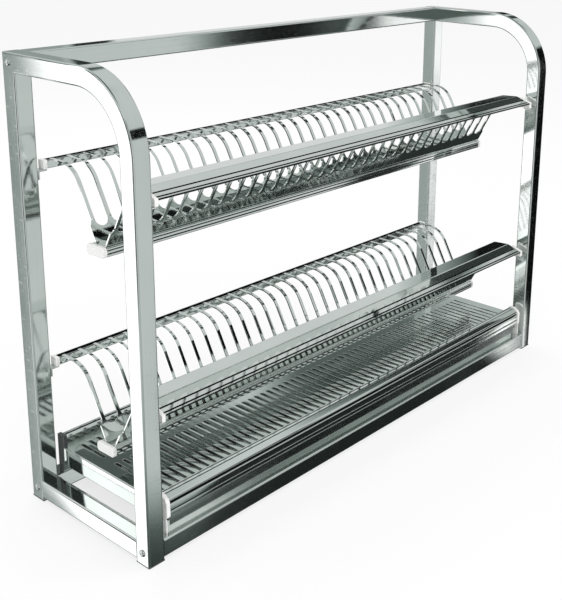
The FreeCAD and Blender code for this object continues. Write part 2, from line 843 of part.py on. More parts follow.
def drip_tray():
    """A shallow tray whose side rims slide on the glass rack's runners."""
    body = new_body("drip_tray")
    nodes.append(body)
    sheet = "tray_sheet"
    wall = "tray_half_width"
    rim = f"({rack_end} - glass_sheet - tray_side_gap)"
    rim_base = "(runner_base + glass_sheet + tray_rim_gap)"
    section = [
        (f"-{wall}", "tray_base"),
        (wall, "tray_base"),
        (wall, rim_base),
        (rim, rim_base),
        (rim, f"{rim_base} + {sheet}"),
        (f"{wall} - {sheet}", f"{rim_base} + {sheet}"),
        (f"{wall} - {sheet}", f"tray_base + {sheet}"),
        (f"-{wall} + {sheet}", f"tray_base + {sheet}"),
        (f"-{wall} + {sheet}", f"{rim_base} + {sheet}"),
        (f"-{rim}", f"{rim_base} + {sheet}"),
        (f"-{rim}", rim_base),
        (f"-{wall}", rim_base),
    ]
    profile = new_sketch(body, "section", "XZ_Plane", [section], shift="-tray_back")
    pad(body, "trough", profile, "tray_back - tray_front")
    back = rectangle(f"-{wall}", "tray_base", wall, f"{rim_base} + {sheet}")
    back_sketch = new_sketch(body, "back_outline", "XZ_Plane", [back], shift="-tray_back")
    pad(body, "back_wall", back_sketch, sheet)
    front = rectangle(f"-{wall}", "tray_base", wall, "tray_front_top")
    front_sketch = new_sketch(body, "front_outline", "XZ_Plane", [front], shift=f"-tray_front - {sheet}")
    pad(body, "front_wall", front_sketch, sheet)


drip_tray()


# Checks and files

def solids_of(node):
    """The node's shape, without a single solid's wrapper."""
    shape = node.Shape
    return shape.Solids[0] if len(shape.Solids) == 1 else shape


doc.recompute()
for thing in doc.Objects:
    if "Invalid" in thing.State or "Error" in thing.State:
        raise RuntimeError(f"{thing.Name} failed: {thing.State}")
for node in nodes:
    if node.Shape.isNull() or not node.Shape.isValid() or not node.Shape.Solids:
        raise RuntimeError(f"{node.Label} has no valid shape")

os.makedirs("parts", exist_ok=True)
for node in nodes:
    solids_of(node).exportStep(f"parts/{node.Label}.step")
print(f"{len(nodes)} nodes written")
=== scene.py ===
import math

import bmesh
import bpy
from mathutils import Matrix, Vector


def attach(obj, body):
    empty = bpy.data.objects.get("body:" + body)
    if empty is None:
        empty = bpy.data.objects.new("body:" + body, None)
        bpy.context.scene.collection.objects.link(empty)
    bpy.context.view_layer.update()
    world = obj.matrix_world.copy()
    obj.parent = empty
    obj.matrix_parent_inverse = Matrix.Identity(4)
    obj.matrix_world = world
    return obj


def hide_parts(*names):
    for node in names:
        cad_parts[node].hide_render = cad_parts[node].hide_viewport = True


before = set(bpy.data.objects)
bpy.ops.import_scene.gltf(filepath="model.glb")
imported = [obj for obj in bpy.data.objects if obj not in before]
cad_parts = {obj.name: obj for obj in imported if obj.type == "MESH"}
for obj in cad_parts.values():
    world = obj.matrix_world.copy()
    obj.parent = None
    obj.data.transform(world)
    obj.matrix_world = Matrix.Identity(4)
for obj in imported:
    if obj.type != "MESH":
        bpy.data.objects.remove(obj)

# A dish drying shelf of polished steel: two side frames and three bars of square tube,
# two plate racks of bent comb sheet, a glass rack and its drip tray.

scene = bpy.context.scene
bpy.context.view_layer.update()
mm = 0.001

scene.view_settings.view_transform = "Standard"


def addObject(name, data):
    made = bpy.data.objects.new(name, data)
    scene.collection.objects.link(made)
    return made


# Small helpers for node trees

def addNode(tree, kind, inputs=None, **settings):
    made = tree.nodes.new(kind)
    for name, value in settings.items():
        setattr(made, name, value)
    for key, value in (inputs or {}).items():
        if isinstance(value, bpy.types.NodeSocket):
            tree.links.new(value, made.inputs[key])
        else:
            made.inputs[key].default_value = value
    return made


def calc(tree, operation, *values, clamp=False):
    made = addNode(tree, "ShaderNodeMath", dict(enumerate(values)), operation=operation, use_clamp=clamp)
    return made.outputs[0]


def blendValue(tree, factor, low, high):
    return addNode(tree, "ShaderNodeMix", {0: factor, 2: low, 3: high}, data_type="FLOAT").outputs[0]


def blendColour(tree, factor, low, high, mode="MIX"):
    made = addNode(tree, "ShaderNodeMix", {0: factor, 6: low, 7: high}, data_type="RGBA", blend_type=mode)
    return made.outputs[2]


# 0 at one value and 1 at the other, held there beyond them
def spread(tree, value, empty, full):
    return addNode(tree, "ShaderNodeMapRange", {0: value, 1: empty, 2: full}, clamp=True).outputs[0]


def noise(tree, vector, scale, detail, roughness=0.5):
    inputs = {"Vector": vector, "Scale": scale, "Detail": detail, "Roughness": roughness}
    return addNode(tree, "ShaderNodeTexNoise", inputs).outputs[0]


def ramp(tree, factor, stops):
    made = addNode(tree, "ShaderNodeValToRGB", {0: factor})
    band = made.color_ramp
    while len(band.elements) > 1:
        band.elements.remove(band.elements[-1])
    for index, (place, tone) in enumerate(stops):
        stop = band.elements[0] if index == 0 else band.elements.new(place)
        stop.position = place
        stop.color = (tone, tone, tone, 1)
    return made.outputs[0]


# Camera

cameraLook = {
    "place": (-1.1308, -1.0046, 0.7910),
    "turn": 49.979,       # degrees from +Y towards +X
    "pitch": 15.128,      # degrees below the horizon
    "roll": 0.948,
    "lens": 65.6,
    "shift": (-0.12, -0.21),
}


def addCamera(look):
    turn, pitch, roll = (math.radians(look[key]) for key in ("turn", "pitch", "roll"))
    ahead = Vector((math.sin(turn) * math.cos(pitch), math.cos(turn) * math.cos(pitch), -math.sin(pitch)))
    right = Vector((math.cos(turn), -math.sin(turn), 0))
    up = right.cross(ahead)
    rolledRight = right * math.cos(roll) + up * math.sin(roll)
    rolledUp = up * math.cos(roll) - right * math.sin(roll)
    data = bpy.data.cameras.new("photoCamera")
    data.sensor_fit = "HORIZONTAL"
    data.sensor_width = 36
    data.lens = look["lens"]
    data.shift_x, data.shift_y = look["shift"]
    data.clip_start, data.clip_end = 0.05, 50
    camera = addObject("photoCamera", data)
    facing = Matrix((rolledRight, rolledUp, -ahead)).transposed()
    camera.matrix_world = Matrix.Translation(look["place"]) @ facing.to_4x4()
    scene.camera = camera


addCamera(cameraLook)
print("camera ready")


# Studio: a pale floor, soft lamps, and walls that only the steel mirrors

# Two turns in degrees from -Y towards +X, two heights, two soft edges, brightness. Later cards cover earlier ones.
studioCards = [
    (8, 16, -0.6, 0.30, 3.0, 0.05, 0.25),
    (4, 18, 0.38, 0.60, 2.0, 0.05, 0.08),
    (22, 45.0, -0.505, 0.20, 1.5, 0.045, 0.63),
    (43.2, 48.4, -0.18, 0.02, 2.4, 0.03, 0.008),
    (48.6, 51.3, -0.18, 0.02, 0.9, 0.03, 0.07),
    (41.5, 57.0, -1.0, -0.415, 1.5, 0.04, 0.02),
    (52.2, 56.4, -0.15, 0.24, 0.9, 0.03, 1.15),
    (50.5, 57.5, -0.415, -0.20, 1.0, 0.03, 0.03),
    (54.3, 55.5, -0.335, -0.18, 0.6, 0.02, 1.10),
    (57.9, 76, -1.0, 0.31, 1.0, 0.05, 0.004),
    (58.9, 60.0, -0.405, -0.375, 0.5, 0.012, 1.30),
    (35.2, 43.8, 0.23, 0.375, 1.2, 0.03, 0.004),
    (71, 88, -1.0, -0.50, 3.0, 0.06, 0.20),
    (80.5, 96, -1.0, -0.48, 2.5, 0.04, 0.03),
    (81, 96, 0.55, 0.74, 3.0, 0.03, 0.03),
    (49, 57, 0.22, 0.325, 2.5, 0.03, 0.03),
    (94, 100, -0.5, 0.2, 2.0, 0.05, 0.12),
    (109.2, 114.0, 0.36, 0.485, 1.0, 0.015, 0.05),
    (102.8, 107.0, 0.50, 0.60, 1.0, 0.015, 0.04),
    (113, 124, 0.115, 0.30, 5.0, 0.015, 0.008),
    (118, 126, 0.345, 0.45, 4.0, 0.02, 0.50),
    (126, 133, 0.38, 0.47, 3.0, 0.02, 0.12),
    (120, 150, -0.30, -0.04, 3.0, 0.04, 0.05),
    (138, 150, -0.64, -0.40, 2.0, 0.04, 1.30),
    (137, 151, 0.475, 0.62, 3.0, 0.02, 0.10),
    (143.4, 145.1, 0.06, 0.25, 0.5, 0.03, 0.03),
    (145.8, 152, 0.06, 0.20, 0.7, 0.03, 0.34),
    (178, 188, -0.5, 0.5, 3.0, 0.05, 0.14),
    (196, 203, -0.8, 0.4, 2.0, 0.05, 0.12),
    (205, 211.8, -1.0, 0.4, 1.7, 0.05, 0.30),
    (213.5, 220.0, -1.0, 0.36, 1.4, 0.05, 1.60),
    (211.5, 220.0, 0.42, 0.60, 1.4, 0.03, 1.50),
    (221.8, 231.0, -0.9, 0.5, 1.2, 0.05, 0.03),
    (232.6, 236.0, -0.9, 0.4, 1.0, 0.05, 0.40),
    (237.6, 243.4, -0.9, 0.4, 1.0, 0.05, 1.50),
    (253, 292, -0.35, 0.34, 2.5, 0.05, 0.015),
    (300, 308, -0.6, 0.2, 3.0, 0.05, 0.14),
    (318, 332, 0.26, 0.58, 2.0, 0.05, 0.03),
    (343, 350, -0.5, 0.4, 2.0, 0.05, 0.12),
]
studioLook = {
    "plainLight": 0.80,
    "floorTone": (0.94, 0.94, 0.94),
    "floorGlow": 0.74,
    "floorReach": 9.0,
    "wallHeights": [      # sine of the elevation, and how bright the studio is there
        (-1.0, 0.03), (-0.58, 0.035), (-0.54, 0.13), (-0.49, 0.45), (-0.43, 0.62), (-0.20, 0.78), (0.0, 0.80),
        (0.25, 0.68), (0.42, 0.62), (0.80, 0.66), (0.88, 0.40), (0.94, 0.10), (1.0, 0.08),
    ],
    "darkTint": (0.80, 1.0, 0.93),
    "lampAim": (0, 0, 0.3),
    "lamps": [            # place, width, height, watts
        ((-1.9, -1.5, 2.3), 1.8, 1.8, 26),
        ((1.6, -2.1, 2.0), 1.6, 1.6, 18),
        ((0.4, 2.2, 2.4), 2.0, 1.4, 16),
    ],
}


def buildWorld(look, cards):
    world = bpy.data.worlds.new("Studio")
    scene.world = world
    world.use_nodes = True
    tree = world.node_tree
    tree.nodes.clear()
    direction = addNode(tree, "ShaderNodeTexCoord").outputs["Generated"]
    parts = addNode(tree, "ShaderNodeSeparateXYZ", {0: direction})
    across, along, height = parts.outputs
    turn = calc(tree, "ARCTAN2", across, calc(tree, "MULTIPLY", along, -1.0))
    turn = calc(tree, "FRACT", calc(tree, "ADD", calc(tree, "DIVIDE", turn, 2 * math.pi), 1.0))
    rise = calc(tree, "MULTIPLY_ADD", height, 0.5, 0.5)
    wall = ramp(tree, rise, [((place + 1) / 2, tone / 2) for place, tone in look["wallHeights"]])
    for left, right, low, high, softTurn, softHeight, tone in cards:
        mask = spread(tree, turn, (left - softTurn) / 360, left / 360)
        mask = calc(tree, "MULTIPLY", mask, spread(tree, turn, (right + softTurn) / 360, right / 360))
        mask = calc(tree, "MULTIPLY", mask, spread(tree, height, low - softHeight, low))
        mask = calc(tree, "MULTIPLY", mask, spread(tree, height, high + softHeight, high))
        wall = blendColour(tree, mask, wall, (tone / 2, tone / 2, tone / 2, 1))
    tinted = blendColour(tree, spread(tree, wall, 0.04, 0.42), (*look["darkTint"], 1), (1, 1, 1, 1))
    wall = blendColour(tree, 1.0, wall, tinted, "MULTIPLY")
    path = addNode(tree, "ShaderNodeLightPath")
    plain = look["plainLight"]
    mirrored = addNode(tree, "ShaderNodeBackground", {"Color": wall, "Strength": 2.0})
    soft = addNode(tree, "ShaderNodeBackground", {"Color": (plain, plain, plain, 1), "Strength": 1.0})
    white = addNode(tree, "ShaderNodeBackground", {"Color": (1, 1, 1, 1), "Strength": 1.0})
    lit = addNode(tree, "ShaderNodeMixShader", {
        0: path.outputs["Is Glossy Ray"], 1: soft.outputs[0], 2: mirrored.outputs[0],
    })
    seen = calc(tree, "MAXIMUM", path.outputs["Is Camera Ray"], path.outputs["Is Transmission Ray"])
    last = addNode(tree, "ShaderNodeMixShader", {0: seen, 1: lit.outputs[0], 2: white.outputs[0]})
    addNode(tree, "ShaderNodeOutputWorld", {0: last.outputs[0]})


def newMaterial(name):
    material = bpy.data.materials.new(name)
    material.use_nodes = True
    material.node_tree.nodes.clear()
    return material, material.node_tree


def addFloor(look):
    mesh = bpy.data.meshes.new("floor")
    reach = look["floorReach"]
    corners = [(-reach, -reach, 0), (reach, -reach, 0), (reach, reach, 0), (-reach, reach, 0)]
    mesh.from_pydata(corners, [], [(0, 1, 2, 3)])
    floor = addObject("floor", mesh)
    material, tree = newMaterial("Pale floor")
    matt = addNode(tree, "ShaderNodeBsdfDiffuse", {"Color": (*look["floorTone"], 1)})
    glow = addNode(tree, "ShaderNodeEmission", {"Color": (1, 1, 1, 1), "Strength": 1.0})
    path = addNode(tree, "ShaderNodeLightPath")
    share = calc(tree, "MULTIPLY", path.outputs["Is Camera Ray"], look["floorGlow"])
    mixed = addNode(tree, "ShaderNodeMixShader", {0: share, 1: matt.outputs[0], 2: glow.outputs[0]})
    addNode(tree, "ShaderNodeOutputMaterial", {0: mixed.outputs[0]})
    mesh.materials.append(material)
    floor.visible_glossy = False   # the steel mirrors the studio walls, down to their foot


def addLamps(look):
    aim = Vector(look["lampAim"])
    for index, (place, width, height, watts) in enumerate(look["lamps"]):
        data = bpy.data.lights.new(f"softLamp{index}", "AREA")
        data.shape = "RECTANGLE"
        data.size, data.size_y = width, height
        data.energy = watts
        lamp = addObject(f"softLamp{index}", data)
        lamp.location = place
        lamp.rotation_euler = (aim - Vector(place)).to_track_quat("-Z", "Y").to_euler()
        lamp.visible_glossy = False   # the steel mirrors the walls, not the lamps


buildWorld(studioLook, studioCards)
addFloor(studioLook)
addLamps(studioLook)
print("studio ready")


# Node groups that the finishes share

def newGroup(name, inputs, outputs, family="ShaderNodeTree"):
    tree = bpy.data.node_groups.new(name, family)
    for label, kind, value in inputs:
        socket = tree.interface.new_socket(name=label, in_out="INPUT", socket_type=kind)
        if value is not None:
            socket.default_value = value
    for label, kind in outputs:
        tree.interface.new_socket(name=label, in_out="OUTPUT", socket_type=kind)
    return tree, addNode(tree, "NodeGroupInput").outputs, addNode(tree, "NodeGroupOutput")


def newPattern(name, inputs, outputs=("Mask",)):
    vector = ("Vector", "NodeSocketVector", None)
    return newGroup(name, [vector, *inputs], [(label, "NodeSocketFloat") for label in outputs])


def brushedGrain():
    tree, given, leave = newPattern("Brushed grain", [
        ("Lines", "NodeSocketVector", None),
        ("Patches", "NodeSocketFloat", None),
    ], ["Grain", "Patch"])
    stretched = addNode(tree, "ShaderNodeVectorMath", {0: given["Vector"], 1: given["Lines"]}, operation="MULTIPLY")
    fine = noise(tree, stretched.outputs[0], 1.0, 5.0, 0.62)
    broad = noise(tree, given["Vector"], given["Patches"], 3.0, 0.55)
    tree.links.new(spread(tree, fine, 0.28, 0.72), leave.inputs["Grain"])
    tree.links.new(spread(tree, broad, 0.34, 0.66), leave.inputs["Patch"])
    return tree


def fineScratches():
    tree, given, leave = newPattern("Fine scratches", [
        ("Scale", "NodeSocketFloat", 60.0),
        ("Amount", "NodeSocketFloat", None),
    ])
    lines = []
    for turn, stretch in ((0.5, (1, 26, 9)), (-0.9, (24, 1, 7)), (1.9, (9, 5, 30))):
        bent = addNode(tree, "ShaderNodeMapping", {
            "Vector": given["Vector"], "Rotation": (turn, turn * 0.7, turn * 1.3), "Scale": stretch,
        })
        lines.append(spread(tree, noise(tree, bent.outputs[0], given["Scale"], 2.0, 0.4), 0.655, 0.70))
    together = calc(tree, "MAXIMUM", calc(tree, "MAXIMUM", lines[0], lines[1]), lines[2])
    tree.links.new(calc(tree, "MULTIPLY", together, given["Amount"]), leave.inputs["Mask"])
    return tree


def waterSpots():
    tree, given, leave = newPattern("Water spots", [
        ("Scale", "NodeSocketFloat", 55.0),
        ("Amount", "NodeSocketFloat", None),
    ])
    drops = addNode(tree, "ShaderNodeTexVoronoi", {
        "Vector": given["Vector"], "Scale": given["Scale"], "Randomness": 1.0,
    }, feature="F1").outputs["Distance"]
    ring = calc(tree, "SUBTRACT", spread(tree, drops, 0.30, 0.20), spread(tree, drops, 0.24, 0.12), clamp=True)
    chosen = calc(tree, "MULTIPLY", ring, spread(tree, noise(tree, given["Vector"], 11.0, 2.0), 0.52, 0.66))
    tree.links.new(calc(tree, "MULTIPLY", chosen, given["Amount"]), leave.inputs["Mask"])
    return tree


# Worn edges with a painted highlight: a mask along rounded edges, where the colour is painted lighter
def wornEdgesAndHighlight():
    tree, given, leave = newPattern("Worn edges and painted highlight", [
        ("Width", "NodeSocketFloat", 0.0012),
        ("Breaks", "NodeSocketFloat", 120.0),
    ])
    rounded = addNode(tree, "ShaderNodeBevel", {"Radius": given["Width"]}, samples=4)
    real = addNode(tree, "ShaderNodeNewGeometry").outputs["Normal"]
    meeting = addNode(tree, "ShaderNodeVectorMath", {0: rounded.outputs[0], 1: real}, operation="DOT_PRODUCT")
    edge = spread(tree, meeting.outputs["Value"], 0.985, 0.86)
    gaps = noise(tree, given["Vector"], given["Breaks"], 3.0)
    broken = calc(tree, "MULTIPLY", edge, spread(tree, gaps, 0.30, 0.60))
    tree.links.new(broken, leave.inputs["Mask"])
    return tree


groups = {"grain": brushedGrain(), "scratches": fineScratches(), "spots": waterSpots(), "edges": wornEdgesAndHighlight()}


def useGroup(tree, which, **inputs):
    return addNode(tree, "ShaderNodeGroup", inputs, node_tree=groups[which]).outputs


# Finishes

tubeSteel = {
    "bright": (0.82, 0.85, 0.835), "dull": (0.74, 0.775, 0.76), "smooth": 0.045, "rough": 0.10,
    "lines": (3.0, 420.0, 420.0), "patches": 7.0, "scratches": 0.30, "spots": 0.08,
}
steelFinishes = {     # what a finish doesn't say is in steelPlain
    "Frame tube steel": {**tubeSteel, "pattern": "UV"},
    "Cross bar steel": tubeSteel,
    "Comb sheet steel": {
        "bright": (0.88, 0.905, 0.89), "dull": (0.80, 0.83, 0.815), "smooth": 0.02, "rough": 0.07,
        "lines": (260.0, 14.0, 14.0), "patches": 14.0, "scratches": 0.25, "spots": 0.12, "paintedLineShade": True,
    },
    "Rail steel": {
        "bright": (0.85, 0.88, 0.865), "dull": (0.75, 0.785, 0.77), "smooth": 0.02, "rough": 0.08,
        "lines": (3.0, 520.0, 520.0), "patches": 10.0, "scratches": 0.30, "spots": 0.12, "paintedLineShade": True,
    },
    "Slotted floor steel": {
        "bright": (0.84, 0.87, 0.855), "dull": (0.74, 0.775, 0.76), "smooth": 0.03, "rough": 0.09,
        "lines": (520.0, 4.0, 40.0), "patches": 12.0, "scratches": 0.25, "spots": 0.15,
    },
    # The tray's steel is painted much darker than the same steel elsewhere, as painted shade under the glass rack
    "Drip tray steel with painted shade": {
        "bright": (0.58, 0.61, 0.595), "dull": (0.44, 0.475, 0.46), "smooth": 0.08, "rough": 0.18,
        "lines": (3.0, 380.0, 380.0), "patches": 8.0, "scratches": 0.30, "spots": 0.20, "relief": 0.03,
    },
    "Screw and bracket steel": {
        "bright": (0.95, 0.96, 0.955), "dull": (0.88, 0.90, 0.89), "smooth": 0.10, "rough": 0.22,
        "lines": (240.0, 240.0, 240.0), "patches": 160.0, "scratches": 0.40, "spots": 0.10, "relief": 0.08,
    },
}
steelPlain = {"relief": 0.02, "pattern": "Object", "paintedLineShade": False}
steelWear = {
    "grainShare": 0.45, "patchShare": 0.55, "reliefDepth": 0.0002,
    "edgeHighlightTone": (0.94, 0.95, 0.94), "edgeHighlightShare": 0.7, "edgePolish": 0.6,
    "spotTone": (0.60, 0.62, 0.61), "spotRough": 0.25, "scratchRough": 0.18, "scratchDepth": 0.8,
    # the line tone is painted shade, near black, laid into the pressed lines
    "lineShadeTone": (0.03, 0.036, 0.033), "lineRough": 0.45, "lineStart": 0.22, "lineFull": 0.50,
}


def steelMaterial(name, look, wear):
    material, tree = newMaterial(name)
    places = addNode(tree, "ShaderNodeTexCoord").outputs
    vector = places[look["pattern"]]
    grain = useGroup(tree, "grain", Vector=vector, Lines=look["lines"], Patches=look["patches"])
    scratches = useGroup(tree, "scratches", Vector=places["Object"], Amount=look["scratches"])["Mask"]
    spots = useGroup(tree, "spots", Vector=places["Object"], Amount=look["spots"])["Mask"]
    edges = useGroup(tree, "edges", Vector=places["Object"])["Mask"]
    patch = calc(tree, "MULTIPLY", grain["Patch"], wear["patchShare"])
    shade = calc(tree, "MULTIPLY_ADD", grain["Grain"], wear["grainShare"], patch)
    colour = blendColour(tree, shade, (*look["bright"], 1), (*look["dull"], 1))
    # the edges are painted lighter: wear and a painted highlight
    colour = blendColour(tree, calc(tree, "MULTIPLY", edges, wear["edgeHighlightShare"]), colour, (*wear["edgeHighlightTone"], 1))
    colour = blendColour(tree, spots, colour, (*wear["spotTone"], 1))
    roughness = blendValue(tree, shade, look["smooth"], look["rough"])
    roughness = calc(tree, "MULTIPLY_ADD", scratches, wear["scratchRough"], roughness)
    roughness = calc(tree, "MULTIPLY_ADD", spots, wear["spotRough"], roughness)
    roughness = blendValue(tree, calc(tree, "MULTIPLY", edges, wear["edgePolish"]), roughness, look["smooth"])
    height = calc(tree, "MULTIPLY_ADD", scratches, -wear["scratchDepth"], grain["Grain"])
    if look["paintedLineShade"]:   # painted shade, near black, in the pressed lines and on the visor's lip, marked on the mesh
        marked = addNode(tree, "ShaderNodeAttribute", attribute_name="paintedShade").outputs["Fac"]
        line = spread(tree, marked, wear["lineStart"], wear["lineFull"])
        colour = blendColour(tree, line, colour, (*wear["lineShadeTone"], 1))
        roughness = blendValue(tree, line, roughness, wear["lineRough"])
    bump = addNode(tree, "ShaderNodeBump", {
        "Strength": look["relief"], "Distance": wear["reliefDepth"], "Height": height,
    })
    steel = addNode(tree, "ShaderNodeBsdfPrincipled", {
        "Base Color": colour, "Metallic": 1.0, "Roughness": roughness, "Normal": bump.outputs[0],
    })
    addNode(tree, "ShaderNodeOutputMaterial", {0: steel.outputs[0]})
    return material


plasticFinishes = {
    "White cap plastic": {
        "tone": (0.93, 0.93, 0.92), "shade": (0.86, 0.86, 0.85), "smooth": 0.26, "rough": 0.44, "grain": 900.0,
    },
    "Grey foot plastic": {
        "tone": (0.07, 0.075, 0.075), "shade": (0.045, 0.05, 0.05), "smooth": 0.38, "rough": 0.58, "grain": 1100.0,
    },
}
plasticWear = {
    "edgeHighlightTone": (0.93, 0.93, 0.92), "edgeHighlightShare": 0.5, "scratchRough": 0.12, "scratchDepth": 0.6,
    "relief": 0.25, "reliefDepth": 0.0001,
}


def plasticMaterial(name, look, wear):
    material, tree = newMaterial(name)
    places = addNode(tree, "ShaderNodeTexCoord").outputs
    moulded = noise(tree, places["Object"], look["grain"], 3.0, 0.6)
    cloud = noise(tree, places["Object"], 40.0, 4.0)
    edges = useGroup(tree, "edges", Vector=places["Object"], Width=0.0009, Breaks=260.0)["Mask"]
    scratches = useGroup(tree, "scratches", Vector=places["Object"], Scale=90.0, Amount=0.5)["Mask"]
    colour = blendColour(tree, spread(tree, cloud, 0.35, 0.70), (*look["tone"], 1), (*look["shade"], 1))
    # the edges are painted lighter: wear and a painted highlight, light grey on the black feet
    colour = blendColour(tree, calc(tree, "MULTIPLY", edges, wear["edgeHighlightShare"]), colour, (*wear["edgeHighlightTone"], 1))
    roughness = blendValue(tree, moulded, look["smooth"], look["rough"])
    roughness = calc(tree, "MULTIPLY_ADD", scratches, wear["scratchRough"], roughness)
    height = calc(tree, "MULTIPLY_ADD", scratches, -wear["scratchDepth"], moulded)
    bump = addNode(tree, "ShaderNodeBump", {
        "Strength": wear["relief"], "Distance": wear["reliefDepth"], "Height": height,
    })
    plastic = addNode(tree, "ShaderNodeBsdfPrincipled", {
        "Base Color": colour, "Roughness": roughness, "Normal": bump.outputs[0], "IOR": 1.48,
    })
    addNode(tree, "ShaderNodeOutputMaterial", {0: plastic.outputs[0]})
    return material


finishes = {name: steelMaterial(name, {**steelPlain, **look}, steelWear) for name, look in steelFinishes.items()}
finishes.update({name: plasticMaterial(name, look, plasticWear) for name, look in plasticFinishes.items()})
print("finishes ready")


# Mesh helpers. Sections are drawn in millimetres and placed in metres.

edgeAngles = {"flat": 1, "rounded": 25, "shadedSharp": 35}     # degrees between the two faces of an edge


# Turns (u, v, radius) corners into points, with an arc at each rounded one
def roundedCorners(corners, steps, closed=True):
    points = []
    total = len(corners)
    for index, (u, v, radius) in enumerate(corners):
        here = Vector((u, v))
        if radius <= 0 or (not closed and index in (0, total - 1)):
            points.append(here)
            continue
        back = (Vector(corners[index - 1][:2]) - here).normalized()
        on = (Vector(corners[(index + 1) % total][:2]) - here).normalized()
        half = math.acos(max(-1, min(1, back.dot(on)))) / 2
        setback = radius / math.tan(half)
        middle = here + (back + on).normalized() * (radius / math.sin(half))
        start, finish = here + back * setback - middle, here + on * setback - middle
        sweep = start.angle_signed(finish)
        for step in range(steps + 1):
            points.append(middle + Matrix.Rotation(-sweep * step / steps, 2) @ start)
    return points


# A closed solid between two copies of a loop. place turns (u, v, reach) into a point.
def addPrism(bm, loop, low, high, place):
    rings = [[bm.verts.new(place(u, v, reach)) for u, v in loop] for reach in (low, high)]
    total = len(loop)
    for index in range(total):
        onward = (index + 1) % total
        bm.faces.new((rings[0][index], rings[0][onward], rings[1][onward], rings[1][index]))
    bm.faces.new(rings[0][::-1])
    bm.faces.new(rings[1])


def alongX(u, v, reach):
    return Vector((reach, u, v)) * mm


def alongY(u, v, reach):
    return Vector((u, reach, v)) * mm


def bevelEdges(bm, edges, width, steps):
    bmesh.ops.bevel(bm, geom=edges, offset=width * mm, segments=steps, profile=0.5, affect="EDGES", clamp_overlap=True)


def joinedWords(node):
    first, *others = node.split("_")
    return first + "".join(word.capitalize() for word in others)


def asMesh(bm, name):
    mesh = bpy.data.meshes.new(name)
    bm.to_mesh(mesh)
    bm.free()
    return mesh


def settle(bm, node, finish, body, slot, name=None):
    bmesh.ops.recalc_face_normals(bm, faces=bm.faces[:])
    settleMesh(asMesh(bm, node), node, finish, body, slot, name or joinedWords(node))


# Makes a finished piece of a mesh: even normals, flat faces kept flat, and its place on a body
def settleMesh(mesh, node, finish, body, slot, name):
    mesh.materials.clear()
    mesh.materials.append(finishes[finish])
    piece = addObject(name, mesh)
    mesh.shade_smooth()
    mesh.set_sharp_from_angle(angle=math.radians(edgeAngles["shadedSharp"]))
    weighted = piece.modifiers.new("Even", "WEIGHTED_NORMAL")
    weighted.keep_sharp = True
    weighted.weight = 100
    shown = piece.evaluated_get(bpy.context.evaluated_depsgraph_get())
    flat = bpy.data.meshes.new_from_object(shown)
    piece.modifiers.remove(weighted)
    piece.data = flat
    bpy.data.meshes.remove(mesh)
    flat.name = name
    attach(piece, body)
    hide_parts(node)


# A copy of a CAD piece with its loose triangles merged and its edges rounded
def softenedCopy(node, finish, body, slot, edge, steps=2, name=None):
    bm = bmesh.new()
    bm.from_mesh(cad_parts[node].data)
    bmesh.ops.remove_doubles(bm, verts=bm.verts[:], dist=1e-6)
    flat, sharp = math.radians(edgeAngles["flat"]), math.radians(edgeAngles["rounded"])
    bmesh.ops.dissolve_limit(bm, angle_limit=flat, verts=bm.verts[:], edges=bm.edges[:])
    lines = [line for line in bm.edges if len(line.link_faces) == 2 and line.calc_face_angle() > sharp]
    bevelEdges(bm, lines, edge, steps)
    settle(bm, node, finish, body, slot, name)


# Frame

tubeSizes = {
    "width": 25, "corner": 2.4, "cornerSteps": 4,
    "foot": 2, "archSteps": 28,
    "front": -112, "back": 112, "top": 599.5, "bottom": 17.5, "archCentre": (-24.5, 512), "archRadius": 87.5,
    "side": 437.5, "inner": 425, "weld": 0.8,     # how far the low side tube reaches into the posts
    "footEdge": 0.5, "bracketEdge": 0.35,
}


def squareLoop(sizes):
    half = sizes["width"] / 2
    corner = sizes["corner"]
    corners = [(-half, -half, corner), (half, -half, corner), (half, half, corner), (-half, half, corner)]
    return roundedCorners(corners, sizes["cornerSteps"])


# Carries the square section along a path in the YZ plane, mitred at sharp corners
def sweepTube(bm, path, middleX, sizes, uv):
    loop = squareLoop(sizes)
    around = [0.0]
    for index in range(len(loop)):
        around.append(around[-1] + (loop[(index + 1) % len(loop)] - loop[index]).length)
    rings, lengths = [], []
    run = 0.0
    for index, here in enumerate(path):
        back = (here - path[index - 1]).normalized() if index else (path[1] - here).normalized()
        on = (path[index + 1] - here).normalized() if index + 1 < len(path) else back
        aim = (back + on).normalized()
        side = Vector((-aim.y, aim.x)) / max(0.2, aim.dot(back))
        run += (here - path[index - 1]).length if index else 0
        lengths.append(run)
        spots = [Vector((middleX + v, here.x + side.x * u, here.y + side.y * u)) * mm for u, v in loop]
        rings.append([bm.verts.new(spot) for spot in spots])
    total = len(loop)
    for low, high, lowRun, highRun in zip(rings, rings[1:], lengths, lengths[1:]):
        for index in range(total):
            onward = (index + 1) % total
            face = bm.faces.new((low[index], low[onward], high[onward], high[index]))
            marks = ((lowRun, index), (lowRun, index + 1), (highRun, index + 1), (highRun, index))
            for corner, (along, place) in zip(face.loops, marks):
                corner[uv].uv = (along * mm, around[place] * mm)
    for ring in (rings[0][::-1], rings[-1]):
        bm.faces.new(ring)


